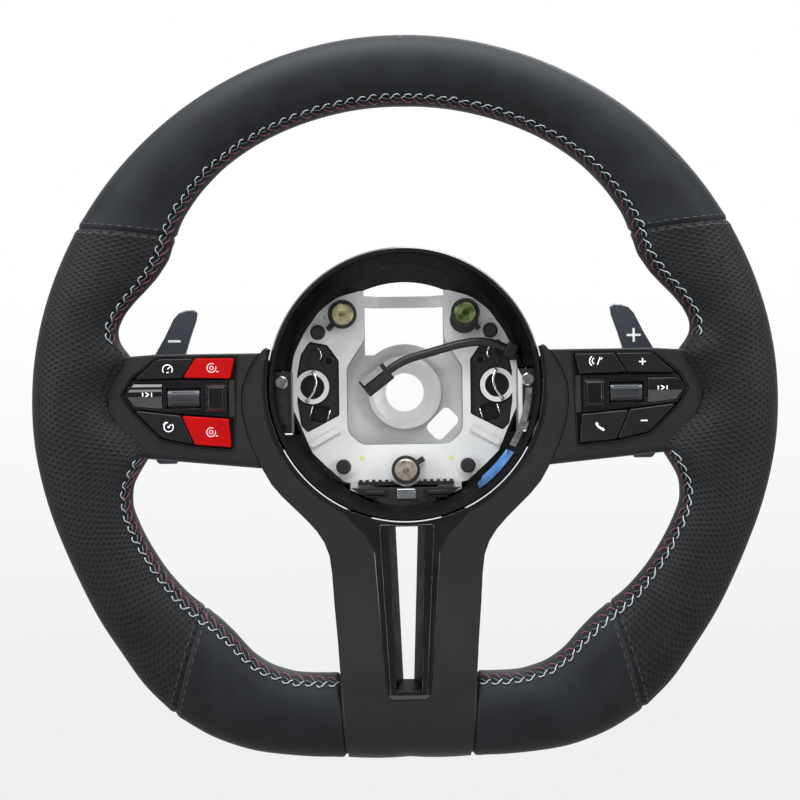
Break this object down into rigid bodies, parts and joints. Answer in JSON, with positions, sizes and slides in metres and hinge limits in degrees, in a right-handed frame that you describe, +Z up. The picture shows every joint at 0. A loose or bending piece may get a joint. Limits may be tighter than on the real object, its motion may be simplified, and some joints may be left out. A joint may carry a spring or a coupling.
{
  "type": "steering wheel",
  "caption": "Flat-bottomed three-spoke leather steering wheel with thumb grips, switch pods, shift paddles and an open hub with a splined column bore, airbag module removed.",
  "frame": {"origin": "centre of the plain wall of the column bore", "axes": "+X to the driver's right, +Z up in the plane of the wheel, +Y along the column axis away from the driver"},
  "size_m": [0.3728, 0.077, 0.3611],
  "materials": {
    "leather_smooth": "matte grain",
    "leather_perforated": "matte, perforated",
    "cast_armature": "as cast, satin",
    "foam": "moulded foam",
    "gloss_black": "piano black",
    "trim_matte": "soft matte",
    "button_red": "satin",
    "button_black": "satin",
    "roller_satin": "satin",
    "paddle_grey": "satin",
    "bright_steel": "bright",
    "zinc_yellow": "yellow zinc",
    "rubber_black": "matte",
    "foil_blue": "film",
    "foil_silver": "crumpled foil",
    "clip_grey": "dull",
    "latch_grey": "satin",
    "black_plastic": "moulded"
  },
  "bodies": {
    "wheel": {"airbag_studs": "zinc_yellow", "armature": "cast_armature", "cable": "rubber_black", "cable_clip": "black_plastic", "comb_strip": "black_plastic", "gloss_bar_left": "gloss_black", "gloss_bar_right": "gloss_black", "harness_wrap": "foil_silver", "heater_foil": "foil_blue", "hub_surround": "gloss_black", "leather_bottom_left": "leather_smooth", "leather_bottom_right": "leather_smooth", "leather_left_grip": "leather_perforated", "leather_right_grip": "leather_perforated", "leather_top": "leather_smooth", "lower_bracket": "black_plastic", "lower_trim": "trim_matte", "paddle_bracket_left": "black_plastic", "paddle_bracket_right": "black_plastic", "paddle_pins": "bright_steel", "plug": "black_plastic", "plug_latch": "latch_grey", "pod_lug_left": "black_plastic", "pod_lug_right": "black_plastic", "pod_screws": "bright_steel", "rear_cover": "black_plastic", "retaining_wire_left": "bright_steel", "retaining_wire_right": "bright_steel", "rim_foam": "foam", "rubber_bumpers": "rubber_black", "side_insert_left": "black_plastic", "side_insert_right": "black_plastic", "slot_insert": "gloss_black", "spoke_cover_left": "trim_matte", "spoke_cover_right": "trim_matte", "spring_clip": "clip_grey", "stud_rings": "rubber_black", "switch_housing_left": "black_plastic", "switch_housing_right": "black_plastic"},
    "button_low_inner_left": {"button_low_inner_left": "button_red"},
    "button_low_inner_right": {"button_low_inner_right": "button_black"},
    "button_low_outer_left": {"button_low_outer_left": "button_black"},
    "button_low_outer_right": {"button_low_outer_right": "button_black"},
    "button_top_inner_left": {"button_top_inner_left": "button_red"},
    "button_top_inner_right": {"button_top_inner_right": "button_black"},
    "button_top_outer_left": {"button_top_outer_left": "button_black"},
    "button_top_outer_right": {"button_top_outer_right": "button_black"},
    "mode_key_left": {"mode_key_left": "gloss_black"},
    "mode_key_right": {"mode_key_right": "gloss_black"},
    "paddle_left": {"paddle_left": "paddle_grey"},
    "paddle_right": {"paddle_right": "paddle_grey"},
    "roller_left": {"roller_left": "roller_satin"},
    "roller_right": {"roller_right": "roller_satin"}
  },
  "joints": [
    {"name": "button_top_outer_left_press", "type": "slide", "parent": "wheel", "child": "button_top_outer_left", "axis": [0, 1, 0], "range_m": [0, 0.001], "stiffness_N_per_m": 900},
    {"name": "button_top_inner_left_press", "type": "slide", "parent": "wheel", "child": "button_top_inner_left", "axis": [0, 1, 0], "range_m": [0, 0.001], "stiffness_N_per_m": 900},
    {"name": "button_low_outer_left_press", "type": "slide", "parent": "wheel", "child": "button_low_outer_left", "axis": [0, 1, 0], "range_m": [0, 0.001], "stiffness_N_per_m": 900},
    {"name": "button_low_inner_left_press", "type": "slide", "parent": "wheel", "child": "button_low_inner_left", "axis": [0, 1, 0], "range_m": [0, 0.001], "stiffness_N_per_m": 900},
    {"name": "mode_key_left_press", "type": "slide", "parent": "wheel", "child": "mode_key_left", "axis": [0, 1, 0], "range_m": [0, 0.0008], "stiffness_N_per_m": 900},
    {"name": "roller_left_turn", "type": "hinge", "parent": "wheel", "child": "roller_left", "pos_m": [-0.1097, -0.0482, -0.0016], "axis": [1, 0, 0], "continuous": true},
    {"name": "paddle_left_pull", "type": "hinge", "parent": "wheel", "child": "paddle_left", "pos_m": [-0.08, -0.0145, -0.005], "axis": [0, 0, 1], "range_deg": [0, 5], "stiffness_Nm_per_rad": 2},
    {"name": "button_top_outer_right_press", "type": "slide", "parent": "wheel", "child": "button_top_outer_right", "axis": [0, 1, 0], "range_m": [0, 0.001], "stiffness_N_per_m": 900},
    {"name": "button_top_inner_right_press", "type": "slide", "parent": "wheel", "child": "button_top_inner_right", "axis": [0, 1, 0], "range_m": [0, 0.001], "stiffness_N_per_m": 900},
    {"name": "button_low_outer_right_press", "type": "slide", "parent": "wheel", "child": "button_low_outer_right", "axis": [0, 1, 0], "range_m": [0, 0.001], "stiffness_N_per_m": 900},
    {"name": "button_low_inner_right_press", "type": "slide", "parent": "wheel", "child": "button_low_inner_right", "axis": [0, 1, 0], "range_m": [0, 0.001], "stiffness_N_per_m": 900},
    {"name": "mode_key_right_press", "type": "slide", "parent": "wheel", "child": "mode_key_right", "axis": [0, 1, 0], "range_m": [0, 0.0008], "stiffness_N_per_m": 900},
    {"name": "roller_right_turn", "type": "hinge", "parent": "wheel", "child": "roller_right", "pos_m": [0.1097, -0.0482, -0.0016], "axis": [1, 0, 0], "continuous": true},
    {"name": "paddle_right_pull", "type": "hinge", "parent": "wheel", "child": "paddle_right", "pos_m": [0.08, -0.0145, -0.005], "axis": [0, 0, -1], "range_deg": [0, 5], "stiffness_Nm_per_rad": 2}
  ]
}
